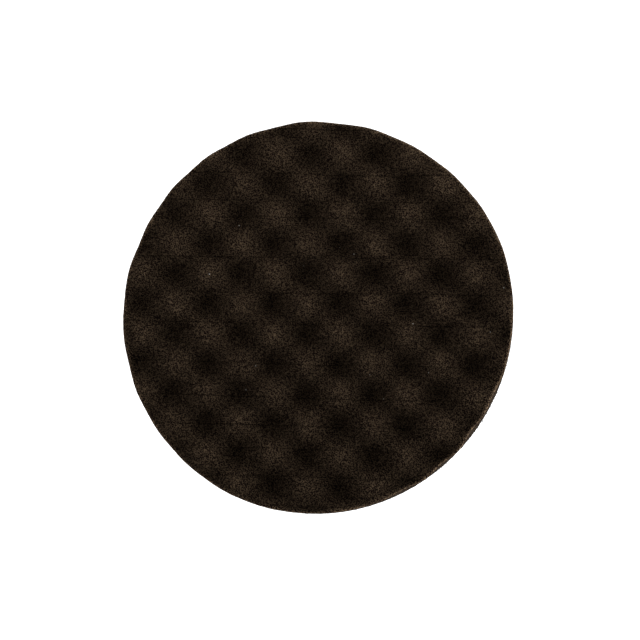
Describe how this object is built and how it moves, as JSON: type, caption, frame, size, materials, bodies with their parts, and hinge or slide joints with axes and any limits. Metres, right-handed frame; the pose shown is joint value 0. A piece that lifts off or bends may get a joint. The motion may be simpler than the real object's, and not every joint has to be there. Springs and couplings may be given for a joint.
{
  "type": "polishing pad",
  "caption": "Round flat-backed foam polishing pad with a waffle face and a hook-and-loop back, no centre hole, for a rotary or dual-action polisher.",
  "frame": {"origin": "centre of the loop face, on the plane of the loop tips", "axes": "+Z out of the waffle polishing face, along the pad's axis of rotation; X and Y along the two pitches of the waffle, X the wider pitch"},
  "size_m": [0.15, 0.15, 0.025],
  "materials": {
    "foam": "open-cell polyurethane foam, soft and matte",
    "bond": "satin hot-melt film",
    "ground_cloth": "knitted nylon, matte",
    "loops": "raised nylon loops with a soft sheen"
  },
  "bodies": {
    "root": {"foam_body": "foam", "adhesive_film": "bond", "backing_cloth": "ground_cloth", "loop_pile": "loops"}
  },
  "joints": []
}
